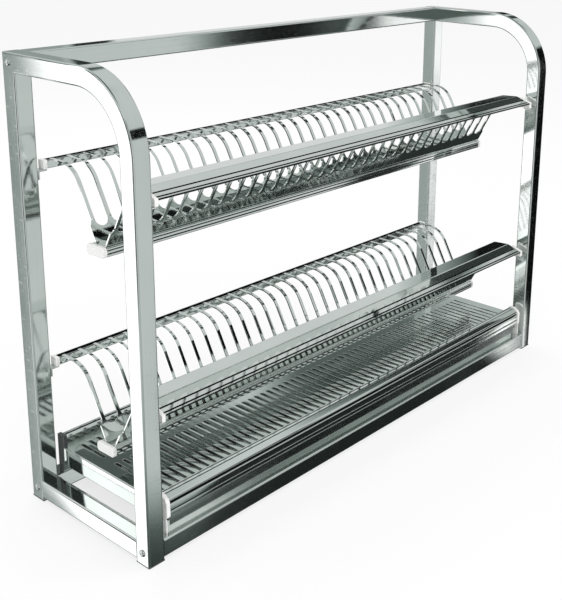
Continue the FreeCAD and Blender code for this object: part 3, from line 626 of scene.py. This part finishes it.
def sideFrame(side, sizes):
    bm = bmesh.new()
    uv = bm.loops.layers.uv.new("UVMap")
    middle = sizes["side"] * (-1 if side == "left" else 1)
    centre = Vector(sizes["archCentre"])
    path = [Vector((sizes["front"], sizes["foot"]))]
    for step in range(sizes["archSteps"] + 1):
        angle = math.pi - math.pi / 2 * step / sizes["archSteps"]
        path.append(centre + Vector((math.cos(angle), math.sin(angle))) * sizes["archRadius"])
    path += [Vector((sizes["back"], sizes["top"])), Vector((sizes["back"], sizes["foot"]))]
    sweepTube(bm, path, middle, sizes, uv)
    reach = sizes["back"] - sizes["width"] / 2 + sizes["weld"]
    sweepTube(bm, [Vector((-reach, sizes["bottom"])), Vector((reach, sizes["bottom"]))], middle, sizes, uv)
    settle(bm, f"{side}_side_frame", "Frame tube steel", "frame", "frame_steel", f"{side}SideTube")


def crossBar(end, level, sizes):
    bm = bmesh.new()
    loop = [point + Vector((sizes[end], sizes[level])) for point in squareLoop(sizes)]
    addPrism(bm, loop, -sizes["inner"], sizes["inner"], alongX)
    settle(bm, f"{end}_{level}_bar", "Cross bar steel", "frame", "frame_steel")


sideFrame("left", tubeSizes)
sideFrame("right", tubeSizes)
for end, level in (("back", "top"), ("back", "bottom"), ("front", "bottom")):
    crossBar(end, level, tubeSizes)
for corner in ("front_left", "front_right", "back_left", "back_right"):
    softenedCopy(f"{corner}_foot", "Grey foot plastic", "frame", "grey_plastic", tubeSizes["footEdge"])
for rack in ("lower", "upper"):
    node, finish = f"{rack}_rack_brackets", "Screw and bracket steel"
    softenedCopy(node, finish, "frame", "bright_steel", tubeSizes["bracketEdge"])
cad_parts["bar_end_plugs"].data.materials.clear()
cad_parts["bar_end_plugs"].data.materials.append(finishes["Grey foot plastic"])
print("frame ready")


# Geometry Nodes trees for what repeats

def newTree(name, inputs):
    shape = ("Geometry", "NodeSocketGeometry")
    return newGroup(name, [(*shape, None), *inputs], [shape], "GeometryNodeTree")


# Runs a tree on an object and keeps the result as a plain mesh
def runTree(carrier, tree, values):
    modifier = carrier.modifiers.new("Build", "NODES")
    modifier.node_group = tree
    for item in tree.interface.items_tree:
        if item.item_type == "SOCKET" and item.in_out == "INPUT" and item.name in values:
            modifier[item.identifier] = values[item.name]
    graph = bpy.context.evaluated_depsgraph_get()
    mesh = bpy.data.meshes.new_from_object(carrier.evaluated_get(graph), depsgraph=graph)
    carrier.modifiers.remove(modifier)
    return mesh


def joined(tree, *shapes):
    made = addNode(tree, "GeometryNodeJoinGeometry")
    for shape in shapes:
        tree.links.new(shape, made.inputs[0])
    return made.outputs[0]


# Ends a tree with its shape in the finish that it was given
def paintAndLeave(tree, shape, given, leave):
    painted = addNode(tree, "GeometryNodeSetMaterial", {"Geometry": shape, "Material": given["Finish"]})
    tree.links.new(painted.outputs[0], leave.inputs[0])
    return tree


# Copies of one unit side by side, merged into one sheet
def rowTree():
    tree, given, leave = newTree("Row of units", [
        ("Unit", "NodeSocketObject", None),
        ("Count", "NodeSocketInt", None),
        ("Pitch", "NodeSocketFloat", None),
        ("Finish", "NodeSocketMaterial", None),
    ])
    length = calc(tree, "MULTIPLY", calc(tree, "SUBTRACT", given["Count"], 1.0), given["Pitch"])
    start = addNode(tree, "ShaderNodeCombineXYZ", {0: calc(tree, "MULTIPLY", length, -0.5)})
    step = addNode(tree, "ShaderNodeCombineXYZ", {0: given["Pitch"]})
    line = addNode(tree, "GeometryNodeMeshLine", {
        "Count": given["Count"], "Start Location": start.outputs[0], "Offset": step.outputs[0],
    })
    unit = addNode(tree, "GeometryNodeObjectInfo", {"Object": given["Unit"]})
    copies = addNode(tree, "GeometryNodeInstanceOnPoints", {
        "Points": line.outputs[0], "Instance": unit.outputs["Geometry"],
    })
    real = addNode(tree, "GeometryNodeRealizeInstances", {0: copies.outputs[0]})
    merged = addNode(tree, "GeometryNodeMergeByDistance", {"Geometry": real.outputs[0], "Distance": 0.00002})
    return paintAndLeave(tree, merged.outputs[0], given, leave)


def raisedRod(tree, sides, radius, depth, lift):
    rod = addNode(tree, "GeometryNodeMeshCylinder", {"Vertices": sides, "Radius": radius, "Depth": depth})
    place = addNode(tree, "ShaderNodeCombineXYZ", {2: lift})
    moved = addNode(tree, "GeometryNodeTransform", {"Geometry": rod.outputs[0], "Translation": place.outputs[0]})
    return moved.outputs[0]


screwLook = {
    "sizes": {
        "Head radius": 0.00475, "Head height": 0.0024, "Socket radius": 0.0019,
        "Shank radius": 0.0028, "Shank length": 0.037,
    },
    "dome": [(0.42, 0.97), (0.26, 0.90), (0.20, 0.80), (0.12, 0.70)],     # share of the height, narrowing
    "headSides": 24, "shankSides": 12, "socketDepth": 1.4, "socketLift": 1.15,
    "reach": 450, "places": [("front", "bottom"), ("back", "bottom"), ("back", "top")],
}


# Screws with a low domed head and a six-sided socket, one at each point, facing along its arrow
def screwTree(look):
    tree, given, leave = newTree("Screws", [
        *[(label, "NodeSocketFloat", size) for label, size in look["sizes"].items()],
        ("Finish", "NodeSocketMaterial", None),
    ])
    disc = addNode(tree, "GeometryNodeMeshCircle", {
        "Vertices": look["headSides"], "Radius": given["Head radius"],
    }, fill_type="NGON")
    shape, top = disc.outputs[0], True
    for share, narrowing in look["dome"]:
        lift = calc(tree, "MULTIPLY", given["Head height"], share)
        raised = addNode(tree, "GeometryNodeExtrudeMesh", {
            "Mesh": shape, "Selection": top, "Offset Scale": lift,
        }, mode="FACES")
        scaled = addNode(tree, "GeometryNodeScaleElements", {
            "Geometry": raised.outputs[0], "Selection": raised.outputs[1], "Scale": narrowing,
        })
        shape, top = scaled.outputs[0], raised.outputs[1]
    shut = addNode(tree, "GeometryNodeFlipFaces", {"Mesh": disc.outputs[0]})
    closed = joined(tree, shape, shut.outputs[0])
    head = addNode(tree, "GeometryNodeMergeByDistance", {"Geometry": closed, "Distance": 0.00001})
    keyDepth = calc(tree, "MULTIPLY", given["Head height"], look["socketDepth"])
    keyLift = calc(tree, "MULTIPLY", given["Head height"], look["socketLift"])
    key = raisedRod(tree, 6, given["Socket radius"], keyDepth, keyLift)
    cut = addNode(tree, "GeometryNodeMeshBoolean", {0: head.outputs[0], 1: key}, operation="DIFFERENCE", solver="EXACT")
    shankDown = calc(tree, "MULTIPLY", given["Shank length"], -0.499)
    shank = raisedRod(tree, look["shankSides"], given["Shank radius"], given["Shank length"], shankDown)
    screw = joined(tree, cut.outputs[0], shank)
    arrow = addNode(tree, "GeometryNodeInputNamedAttribute", {"Name": "facing"}, data_type="FLOAT_VECTOR")
    turned = addNode(tree, "FunctionNodeAlignRotationToVector", {"Vector": arrow.outputs[0]}, axis="Z")
    copies = addNode(tree, "GeometryNodeInstanceOnPoints", {
        "Points": given["Geometry"], "Instance": screw, "Rotation": turned.outputs[0],
    })
    real = addNode(tree, "GeometryNodeRealizeInstances", {0: copies.outputs[0]})
    return paintAndLeave(tree, real.outputs[0], given, leave)


def frameScrews(look, tubes):
    sides, reach = (-1, 1), look["reach"]
    spots = [Vector((side * reach, tubes[y], tubes[z])) * mm for side in sides for y, z in look["places"]]
    mesh = bpy.data.meshes.new("screwSpots")
    mesh.from_pydata(spots, [], [])
    facing = mesh.attributes.new("facing", "FLOAT_VECTOR", "POINT")
    for spot, arrow in zip(spots, facing.data):
        arrow.vector = (math.copysign(1, spot.x), 0, 0)
    carrier = addObject("screwSpots", mesh)
    result = runTree(carrier, screwTree(look), {**look["sizes"], "Finish": finishes["Screw and bracket steel"]})
    bpy.data.objects.remove(carrier)
    settleMesh(result, "frame_screws", "Screw and bracket steel", "frame", "bright_steel", "frameScrews")


frameScrews(screwLook, tubeSizes)
print("screws ready")


# Combs: a sheet drawn flat as (x, distance along the sheet), then bent and thickened

# Maps a distance along a bent sheet to its point and its outward normal in the YZ plane
class BentSheet:
    wall = 0.06      # length along the sheet of a groove's steep side
    apart = 0.05     # rows of points closer than this fall together

    def __init__(self, corners, flip, steps):
        self.points = roundedCorners(corners, steps, closed=False)
        self.flip = -1 if flip else 1
        self.runs = [0.0]
        for back, on in zip(self.points, self.points[1:]):
            self.runs.append(self.runs[-1] + (on - back).length)
        self.cuts = []     # (run, depth) pairs of grooves pressed into the outside

    def groove(self, corner, starts, width, depth):
        nearest = min(range(len(self.points)), key=lambda index: (self.points[index] - Vector(corner)).length)
        for start in starts:
            low = self.runs[nearest] + start
            self.cuts += [(low, 0.0), (low + self.wall, depth), (low + width, 0.0)]

    def depthAt(self, run):
        for (low, before), (high, after) in zip(self.cuts, self.cuts[1:]):
            if low - 1e-4 <= run <= high + 1e-4:
                return before + (after - before) * (run - low) / (high - low)
        return 0.0

    def normalAt(self, index):
        points = self.points
        back = points[max(index - 1, 0)]
        on = points[min(index + 1, len(points) - 1)]
        before = (points[index] - back).normalized() if index else (on - points[index]).normalized()
        after = (on - points[index]).normalized() if index + 1 < len(points) else before
        aim = (before + after).normalized()
        return Vector((-aim.y, aim.x)) * self.flip / max(0.4, aim.dot(after))

    def at(self, run):
        for index in range(len(self.runs) - 1):
            if run <= self.runs[index + 1] + 1e-6 or index == len(self.runs) - 2:
                length = self.runs[index + 1] - self.runs[index]
                share = min(1.0, max(0.0, (run - self.runs[index]) / length))
                if share < 1e-4:
                    return self.points[index], self.normalAt(index)
                if share > 1 - 1e-4:
                    return self.points[index + 1], self.normalAt(index + 1)
                here, onward = self.points[index:index + 2]
                straight = (onward - here).normalized()
                return here.lerp(onward, share), Vector((-straight.y, straight.x)) * self.flip

    def rowsBetween(self, low, high):
        rows = self.runs + [run for run, depth in self.cuts]
        return sorted({round(run, 4) for run in rows if low + self.apart < run < high - self.apart})


combSizes = {
    "pitch": 25.25, "tine": 5, "band": 21.6, "sheet": 2, "slope": 61.4, "edge": 0.86, "edgeSteps": 3,
    "rootSteps": 8, "end": 411, "slots": 34,
    "rearFoot": 3.7, "frontFoot": -11.7, "footHeight": 12, "slotEnd": 102.6, "slotCorner": 5.5,
    "slotEndSteps": 5, "tie": 0.8,     # width of the two strips that join the slot's end to the visor
    "bend": 40, "bendSteps": 10, "combTop": 104.5, "lapEnd": 99.5, "lapBend": 2.2, "railFront": 103.2,
    "visorRear": 102.5, "visorRearBend": 3.5, "visorSteps": 5,
    "visor": [(-91, 104.2, 7), (-104.6, 99.8, 0), (-117, 95.3, 1.2), (-118, 93.6, 0)],
    "fold": (-104.6, 99.8), "grooves": (0.2, 8.6), "grooveWidth": 2.6, "grooveDepth": 1.9, "lip": 1.9,
}


def quarterArc(middle, radius, steps):
    turns = [math.pi / 2 * step / steps for step in range(steps + 1)]
    return [(middle[0] + radius * math.cos(turn), middle[1] + radius * math.sin(turn)) for turn in turns]


# One unit of a row: flat faces drawn for x >= 0 and mirrored, then thickened, open where units meet
class UnitPattern:
    def __init__(self, sizes):
        self.sizes = sizes
        self.half = sizes["pitch"] / 2
        self.flat = bmesh.new()
        self.known = {}

    def vert(self, x, y):
        key = (round(x, 3), round(y, 3))
        if key not in self.known:
            self.known[key] = self.flat.verts.new((x, y, 0))
        return self.known[key]

    def face(self, *spots):
        for side in (1, -1):
            corners = [self.vert(x * side, y) for x, y in spots]
            self.flat.faces.new(corners if side > 0 else corners[::-1])

    def isRim(self, line):
        meets = all(abs(abs(corner.co.x) - self.half) < 1e-3 for corner in line.verts)
        return len(line.link_faces) == 1 and not meets

    # layers(y) gives the (y, z) of the outside and of the inside, softened(y) the sides to round there
    # shade(y), when given, is the painted shade marked on the outside points
    def thicken(self, name, layers, softened, shade=None):
        bm = bmesh.new()
        paintedShade = bm.verts.layers.float.new("paintedShade") if shade else None
        made = {"outer": {}, "inner": {}}
        self.flat.verts.index_update()
        for corner in self.flat.verts:
            for side, spot in zip(made, layers(corner.co.y)):
                made[side][corner.index] = bm.verts.new(Vector((corner.co.x, *spot)) * mm)
            if shade:
                made["outer"][corner.index][paintedShade] = shade(corner.co.y)
        outer, inner = made.values()
        for polygon in self.flat.faces:
            order = [corner.index for corner in polygon.verts]
            bm.faces.new([outer[index] for index in order])
            bm.faces.new([inner[index] for index in reversed(order)])
        pairs = []
        for line in filter(self.isRim, self.flat.edges):
            start, stop = (corner.index for corner in line.verts)
            bm.faces.new((outer[start], outer[stop], inner[stop], inner[start]))
            pairs += [(made[side][start], made[side][stop]) for side in softened(line.verts[0].co.y)]
        bmesh.ops.recalc_face_normals(bm, faces=bm.faces[:])
        bevelEdges(bm, [bm.edges.get(pair) for pair in pairs], self.sizes["edge"], self.sizes["edgeSteps"])
        self.flat.free()
        return addObject(name, asMesh(bm, name))


# One slot with half a tine on each side of it
def combUnit(name, sheet, sizes, slotEnd=None):
    pattern = UnitPattern(sizes)
    half = pattern.half
    radius = half - sizes["tine"] / 2
    rootTop = sizes["band"] + radius
    last = sheet.runs[-1]
    turns = [math.pi / 2 * step / sizes["rootSteps"] for step in range(sizes["rootSteps"] + 1)]
    root = [(radius * math.sin(turn), rootTop - radius * math.cos(turn)) for turn in turns]
    for (x0, run0), (x1, run1) in zip(root, root[1:]):
        pattern.face((x0, 0), (x1, 0), (x1, run1), (x0, run0))
    pattern.face((radius, 0), (half, 0), (half, rootTop), (radius, rootTop))
    if slotEnd is None:
        rows, left = [rootTop], radius
    else:
        corner = sizes["slotCorner"]
        arcStart = slotEnd - corner
        arc = quarterArc((radius - corner, arcStart), corner, sizes["slotEndSteps"])
        tie = slotEnd + sizes["tie"]
        over = slotEnd + 2 * sizes["tie"]
        pattern.face((radius, rootTop), (half, rootTop), (half, arcStart), (radius, arcStart))
        pattern.face((radius, arcStart), (half, arcStart), (half, tie), (radius, tie))
        for (x0, run0), (x1, run1) in zip(arc, arc[1:]):
            pattern.face((x1, run1), (x0, run0), (x0, tie), (x1, tie))
        pattern.face((0, slotEnd), (radius - corner, slotEnd), (radius - corner, tie), (0, tie))
        columns = sorted({0.0, radius - corner, radius, half} | {round(x, 6) for x, run in arc})
        pattern.face(*[(x, tie) for x in columns], (half, over), (0, over))
        rows, left = [over], 0
    rows += sheet.rowsBetween(rows[0], last) + [last]
    for low, high in zip(rows, rows[1:]):
        pattern.face((left, low), (half, low), (half, high), (left, high))

    def layers(run):
        spot, normal = sheet.at(run)
        return spot - normal * sheet.depthAt(run), spot - normal * sizes["sheet"]

    # Painted shade for the outside: darker the deeper the groove, and full along the visor's lip
    def shade(run):
        onLip = slotEnd and run > last - sizes["lip"]
        return 1.0 if onLip else sheet.depthAt(run) / sizes["grooveDepth"]

    return pattern.thicken(name, layers, lambda run: ("outer", "inner"), shade)


# Cuts a row off at both ends and closes the cuts
def trimmed(mesh, end):
    bm = bmesh.new()
    bm.from_mesh(mesh)
    for side in (-1, 1):
        cut = bmesh.ops.bisect_plane(
            bm, geom=bm.verts[:] + bm.edges[:] + bm.faces[:], dist=1e-7,
            plane_co=(side * end * mm, 0, 0), plane_no=(side, 0, 0), clear_outer=True,
        )
        rim = [item for item in cut["geom_cut"] if isinstance(item, bmesh.types.BMEdge)]
        bmesh.ops.holes_fill(bm, edges=rim, sides=0)
    return bm


unitRow = rowTree()
rowCarrier = addObject("rowCarrier", bpy.data.meshes.new("rowCarrier"))


def repeatUnit(unit, sizes, finish):
    mesh = runTree(rowCarrier, unitRow, {
        "Unit": unit, "Count": sizes["slots"], "Pitch": sizes["pitch"] * mm, "Finish": finishes[finish],
    })
    bpy.data.objects.remove(unit)
    return mesh


def combSheet(rack, which, base, sizes):
    rise = base + sizes["footHeight"]
    lean = 1 / math.tan(math.radians(sizes["slope"]))
    if which == "rear":
        topZ = base + sizes["combTop"]
        bendY = sizes["rearFoot"] + (topZ - rise) * lean
        corners = [
            (sizes["rearFoot"], rise, 0), (bendY, topZ, sizes["bend"]),
            (sizes["railFront"], topZ, sizes["lapBend"]), (sizes["railFront"], base + sizes["lapEnd"], 0),
        ]
        sheet = BentSheet(corners, False, sizes["bendSteps"])
        unit = combUnit(f"{rack}RearUnit", sheet, sizes)
    else:
        topZ = base + sizes["visorRear"]
        bendY = sizes["frontFoot"] - (topZ - rise) * lean
        corners = [(sizes["frontFoot"], rise, 0), (bendY, topZ, sizes["visorRearBend"])]
        corners += [(y, base + z, radius) for y, z, radius in sizes["visor"]]
        sheet = BentSheet(corners, True, sizes["visorSteps"])
        fold = (sizes["fold"][0], base + sizes["fold"][1])
        sheet.groove(fold, sizes["grooves"], sizes["grooveWidth"], sizes["grooveDepth"])
        unit = combUnit(f"{rack}FrontUnit", sheet, sizes, slotEnd=sizes["slotEnd"])
    mesh = repeatUnit(unit, sizes, "Comb sheet steel")
    bm = trimmed(mesh, sizes["end"])
    bpy.data.meshes.remove(mesh)
    settle(bm, f"{rack}_{which}_comb", "Comb sheet steel", f"{rack}_plate_rack", "rack_steel")


# Rails and caps of the plate racks

railSizes = {
    "bases": {"lower": 97, "upper": 369},     # height of each plate rack's foot
    "end": 411, "steps": {"bottom": 4, "back": 3},
    "bottom": [   # section as (y, z, radius) above the rack's foot
        (-16.5, 0, 1.2), (16.5, 0, 2.4), (16.5, 12, 2.4), (11.5, 12, 0.5), (10.7, 11.2, 0.3), (9.4, 11.2, 0.3),
        (8.6, 12, 0.5), (-8.6, 12, 0.5), (-9.4, 11.2, 0.3), (-10.7, 11.2, 0.3), (-11.5, 12, 0.5), (-16.5, 12, 1.4),
        (-16.5, 9.3, 0), (-15.1, 8.9, 0), (-16.5, 7.4, 0), (-16.5, 5.0, 0), (-15.1, 4.6, 0), (-16.5, 3.1, 0),
    ],
    "bottomShade": [(-15.1, 8.9), (-15.1, 4.6), (-9.8, 11.2), (9.8, 11.2)],     # where shade is painted, near black, into the pressed lines
    "back": [
        (100, 92, 1.2), (111, 92, 1.2), (111, 97, 0.4), (110.2, 97.5, 0.2), (111, 98, 0.4), (111, 103, 0.6),
        (108.9, 103, 0.3), (108.9, 97.5, 0.4), (103.4, 97.5, 0.4), (103.4, 103, 0.3), (100, 103, 0.8),
    ],
    "backShade": [(108.9, 97.5), (103.4, 97.5), (108.9, 103), (103.4, 103), (100, 103)],
    "shadeReach": 0.7, "capEdges": {"bottom": 1.1, "back": 0.7, "front": 0.9}, "capSteps": 3,
}


def straightRail(node, section, base, end, body, shaded, steps, name=None):
    bm = bmesh.new()
    paintedShade = bm.verts.layers.float.new("paintedShade")
    loop = [point + Vector((0, base)) for point in roundedCorners(section, steps)]
    addPrism(bm, loop, -end, end, alongX)
    # points near the listed spots get painted shade, near black
    for y, z in shaded:
        for corner in bm.verts:
            if (corner.co.yz - Vector((y, base + z)) * mm).length < railSizes["shadeReach"] * mm:
                corner[paintedShade] = 1.0
    settle(bm, node, "Rail steel", body, "rack_steel", name)


for rack, base in railSizes["bases"].items():
    body = f"{rack}_plate_rack"
    combSheet(rack, "rear", base, combSizes)
    combSheet(rack, "front", base, combSizes)
    for place, steps in railSizes["steps"].items():
        section, shaded = railSizes[place], railSizes[place + "Shade"]
        straightRail(f"{rack}_{place}_rail", section, base, railSizes["end"], body, shaded, steps)
    for place, edge in railSizes["capEdges"].items():
        for side in ("left", "right"):
            node, finish = f"{rack}_{place}_cap_{side}", "White cap plastic"
            softenedCopy(node, finish, body, "white_plastic", edge, railSizes["capSteps"])
    print(rack, "plate rack ready")


# Glass rack

glassSizes = {
    "pitch": 12.95, "slots": 62, "slotWidth": 5, "cornerRadius": 2.3, "cornerSteps": 3,
    "sheet": 1.2, "top": 70, "edge": 0.5, "edgeSteps": 2, "shoulder": 4,
    "front": -101, "back": 94, "zones": [(-94, 10), (33, 85)], "end": 417, "runnerBase": 43, "runnerWidth": 6,
    "runnerSteps": 4, "railSteps": 3, "capEdge": 0.7, "capSteps": 3, "trayEdge": 0.35,
    "frontRail": [
        (-101, 50, 0.6), (-101, 80.5, 0.8), (-103, 82, 0.5), (-104.4, 81.8, 0), (-104.6, 80.6, 0), (-105.9, 81.5, 0),
        (-109, 81, 0), (-109.2, 79.8, 0), (-110.5, 80.6, 0), (-111, 80.5, 0.3), (-117, 77, 1.6), (-119.2, 74, 1.0),
        (-116.5, 73, 0.4), (-116.5, 71, 0.4), (-120, 70, 1.2), (-120, 62, 0.5), (-118.5, 61.5, 0.2),
        (-118.5, 60.5, 0.2), (-120, 60, 0.5), (-120, 55, 1.5), (-116, 50, 1.5),
    ],
    "frontShade": [(-116.5, 72.6), (-116.5, 71.4), (-118.5, 61), (-104.6, 80.6), (-109.2, 79.8)],
    "backRail": [
        (94, 46, 0.8), (107, 46, 0.8), (107, 84, 1.0), (105, 86, 1.0), (102, 86, 0.5), (101, 84.5, 0.4),
        (99, 84.5, 0.4), (98, 85.5, 0.4), (95.5, 85, 0.5), (94, 83, 0.8),
    ],
    "backShade": [(99.6, 84.5), (100.6, 84.5)],
}


# The right half of a slot's two round ends
def slotArcs(low, high, sizes):
    radius, steps = sizes["cornerRadius"], sizes["cornerSteps"]
    middle = sizes["slotWidth"] / 2 - radius
    turns = [math.pi / 2 * step / steps for step in range(steps + 1)]
    lowArc = [(middle + radius * math.sin(turn), low + radius - radius * math.cos(turn)) for turn in turns]
    return lowArc, quarterArc((middle, high - radius), radius, steps)


# One strip of the floor with its slots
def floorUnit(sizes):
    pattern = UnitPattern(sizes)
    half, front, back, room = pattern.half, sizes["front"], sizes["back"], sizes["shoulder"]
    start = [(0, front), (half, front)]
    for low, high in sizes["zones"]:
        lowArc, highArc = slotArcs(low, high, sizes)
        pattern.face(*start, (half, low + room), *lowArc[::-1], (0, low))
        pattern.face((half, low + room), (half, high - room), highArc[0], lowArc[-1])
        start = [(0, high), *highArc[::-1], (half, high - room)]
    pattern.face(*start, (half, back), (0, back))

    def layers(y):
        return (y, sizes["top"]), (y, sizes["top"] - sizes["sheet"])

    def softened(y):   # the upper rims of the slots
        return ("outer",) if front + 1 < y < back - 1 else ()

    return pattern.thicken("floorUnit", layers, softened)


def glassFloor(sizes):
    mesh = repeatUnit(floorUnit(sizes), sizes, "Slotted floor steel")
    bm = bmesh.new()
    bm.from_mesh(mesh)
    bpy.data.meshes.remove(mesh)
    inner = sizes["slots"] * sizes["pitch"] / 2
    top, base, sheet, end = sizes["top"], sizes["runnerBase"], sizes["sheet"], sizes["end"]
    under, runner = top - sheet, end - sizes["runnerWidth"]
    section = [
        (inner, top, 0), (end, top, 1.8), (end, base, 1.4), (runner, base, 0), (runner, base + sheet, 0),
        (end - sheet, base + sheet, 0.3), (end - sheet, under, 0.6), (inner, under, 0),
    ]
    for side in (-1, 1):
        loop = [Vector((point.x * side, point.y)) for point in roundedCorners(section, sizes["runnerSteps"])]
        addPrism(bm, loop, sizes["front"], sizes["back"], alongY)
    settle(bm, "glass_rack_floor", "Slotted floor steel", "glass_rack", "rack_steel")


glassFloor(glassSizes)
for place in ("front", "back"):
    node, name, section = f"glass_rack_{place}_rail", f"glass{place.capitalize()}Rail", glassSizes[place + "Rail"]
    shaded, steps = glassSizes[place + "Shade"], glassSizes["railSteps"]
    straightRail(node, section, 0, railSizes["end"], "glass_rack", shaded, steps, name)
for place, finish, slot in (
    ("front", "White cap plastic", "white_plastic"),
    ("back", "Grey foot plastic", "grey_plastic"),
):
    for side in ("left", "right"):
        node, name = f"glass_rack_{place}_cap_{side}", joinedWords(f"glass_{place}_cap_{side}")
        softenedCopy(node, finish, "glass_rack", slot, glassSizes["capEdge"], glassSizes["capSteps"], name)
softenedCopy("drip_tray", "Drip tray steel with painted shade", "drip_tray", "tray_steel", glassSizes["trayEdge"])
bpy.data.objects.remove(rowCarrier)
print("glass rack and tray ready")
